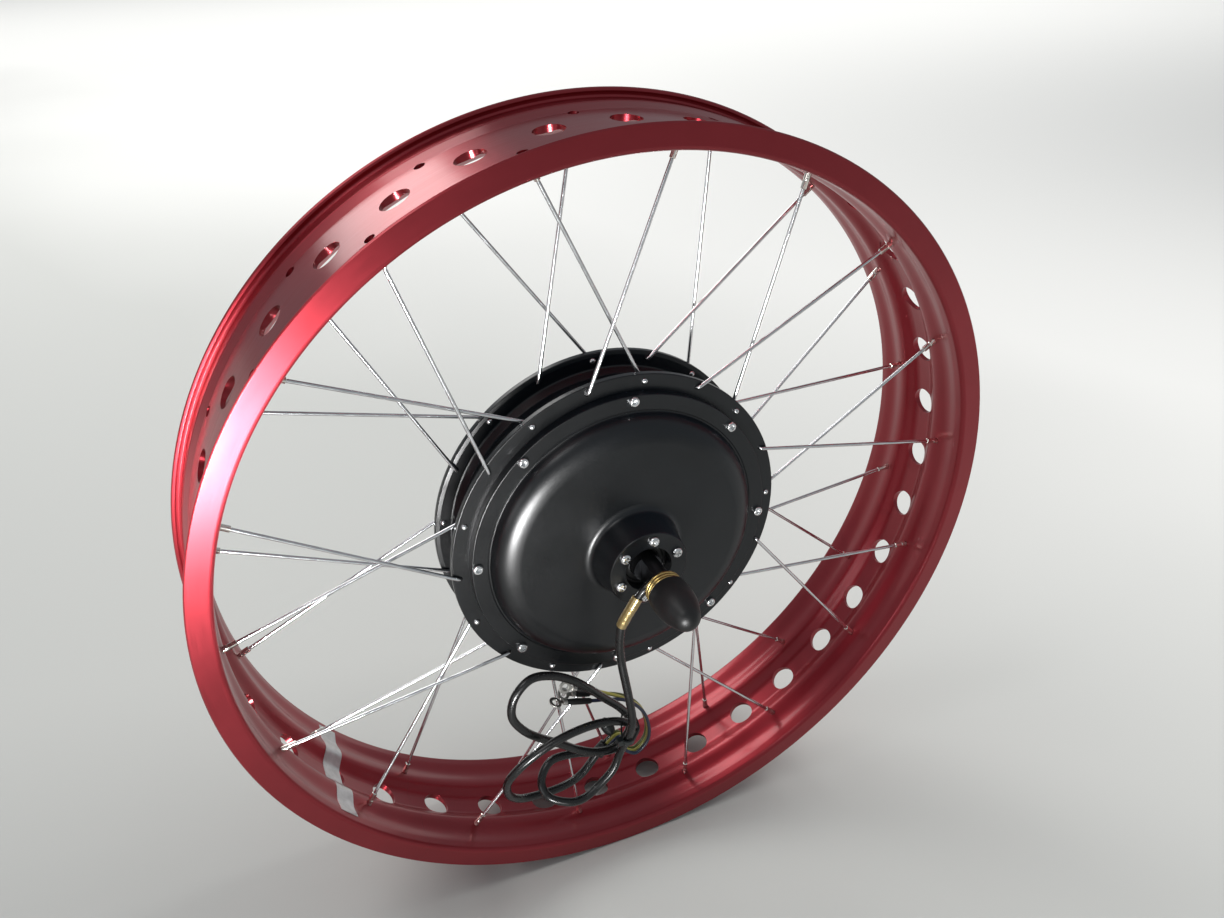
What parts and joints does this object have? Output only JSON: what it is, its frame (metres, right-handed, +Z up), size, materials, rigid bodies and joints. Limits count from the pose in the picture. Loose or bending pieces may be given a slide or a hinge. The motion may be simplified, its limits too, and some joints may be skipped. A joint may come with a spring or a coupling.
{
  "type": "hub motor wheel",
  "caption": "Wide red aluminium bicycle wheel rim laced with bright spokes to a black direct-drive hub motor with a brake-disc boss, axle caps and a looped motor cable.",
  "frame": {"origin": "centre of the wheel, on the axle's line in the rim's middle plane", "axes": "Y along the axle with the brake disc and cable on the -Y side, +Z up, X across the wheel"},
  "size_m": [0.572, 0.26, 0.572],
  "materials": {
    "red_rim": "satin",
    "silver_label": "satin",
    "black_housing": "satin",
    "back_iron": "satin",
    "magnet": "satin",
    "zinc_screw": "gloss",
    "bearing_steel": "gloss",
    "black_rubber": "matte",
    "bright_spoke": "gloss",
    "nipple_plating": "gloss",
    "dark_axle": "satin",
    "cast_support": "satin",
    "lamination_steel": "satin",
    "copper_winding": "satin",
    "circuit_board": "satin",
    "golden_zinc": "satin",
    "zinc_nut": "satin",
    "cable_jacket": "satin",
    "golden_sleeve": "gloss",
    "black_nylon": "satin",
    "yellow_insulation": "satin",
    "green_insulation": "satin",
    "blue_insulation": "satin",
    "tinned_terminal": "satin"
  },
  "bodies": {
    "axle_body": {"axle": "dark_axle", "stator_support": "cast_support", "axle_key": "bearing_steel", "stator_laminations": "lamination_steel", "stator_coils": "copper_winding", "hall_sensor_board": "circuit_board", "motor_leads": "cable_jacket", "disc_side_inner_race": "bearing_steel", "plain_side_inner_race": "bearing_steel", "disc_side_bearing_balls": "bearing_steel", "plain_side_bearing_balls": "bearing_steel", "disc_side_washers": "golden_zinc", "plain_side_washers": "golden_zinc", "disc_side_nut": "zinc_nut", "plain_side_nut": "zinc_nut", "disc_side_cap": "black_rubber", "plain_side_cap": "black_rubber", "cable_inner_run": "cable_jacket", "cable_sleeve": "golden_sleeve", "motor_cable": "cable_jacket", "cable_tie": "black_nylon", "wire_boot": "black_rubber", "yellow_wire": "yellow_insulation", "green_wire": "green_insulation", "blue_wire": "blue_insulation", "terminal_sleeves": "black_rubber", "ring_terminals": "tinned_terminal", "hall_lead": "cable_jacket", "hall_plug": "black_nylon"},
    "wheel": {"rim": "red_rim", "rim_label": "silver_label", "hub_shell": "black_housing", "magnet_ring": "back_iron", "rotor_magnets": "magnet", "disc_side_cover": "black_housing", "plain_side_cover": "black_housing", "disc_side_cover_screws": "zinc_screw", "plain_side_cover_screws": "zinc_screw", "disc_screws": "zinc_screw", "disc_side_outer_race": "bearing_steel", "plain_side_outer_race": "bearing_steel", "disc_side_bearing_shields": "bearing_steel", "plain_side_bearing_shields": "bearing_steel", "disc_side_seal": "black_rubber", "plain_side_seal": "black_rubber", "disc_side_inner_spokes": "bright_spoke", "disc_side_outer_spokes": "bright_spoke", "plain_side_inner_spokes": "bright_spoke", "plain_side_outer_spokes": "bright_spoke", "disc_side_nipples": "nipple_plating", "plain_side_nipples": "nipple_plating"}
  },
  "joints": [
    {"name": "wheel_spin", "type": "hinge", "parent": "axle_body", "child": "wheel", "pos_m": [0, 0, 0], "axis": [0, 1, 0], "continuous": true}
  ]
}
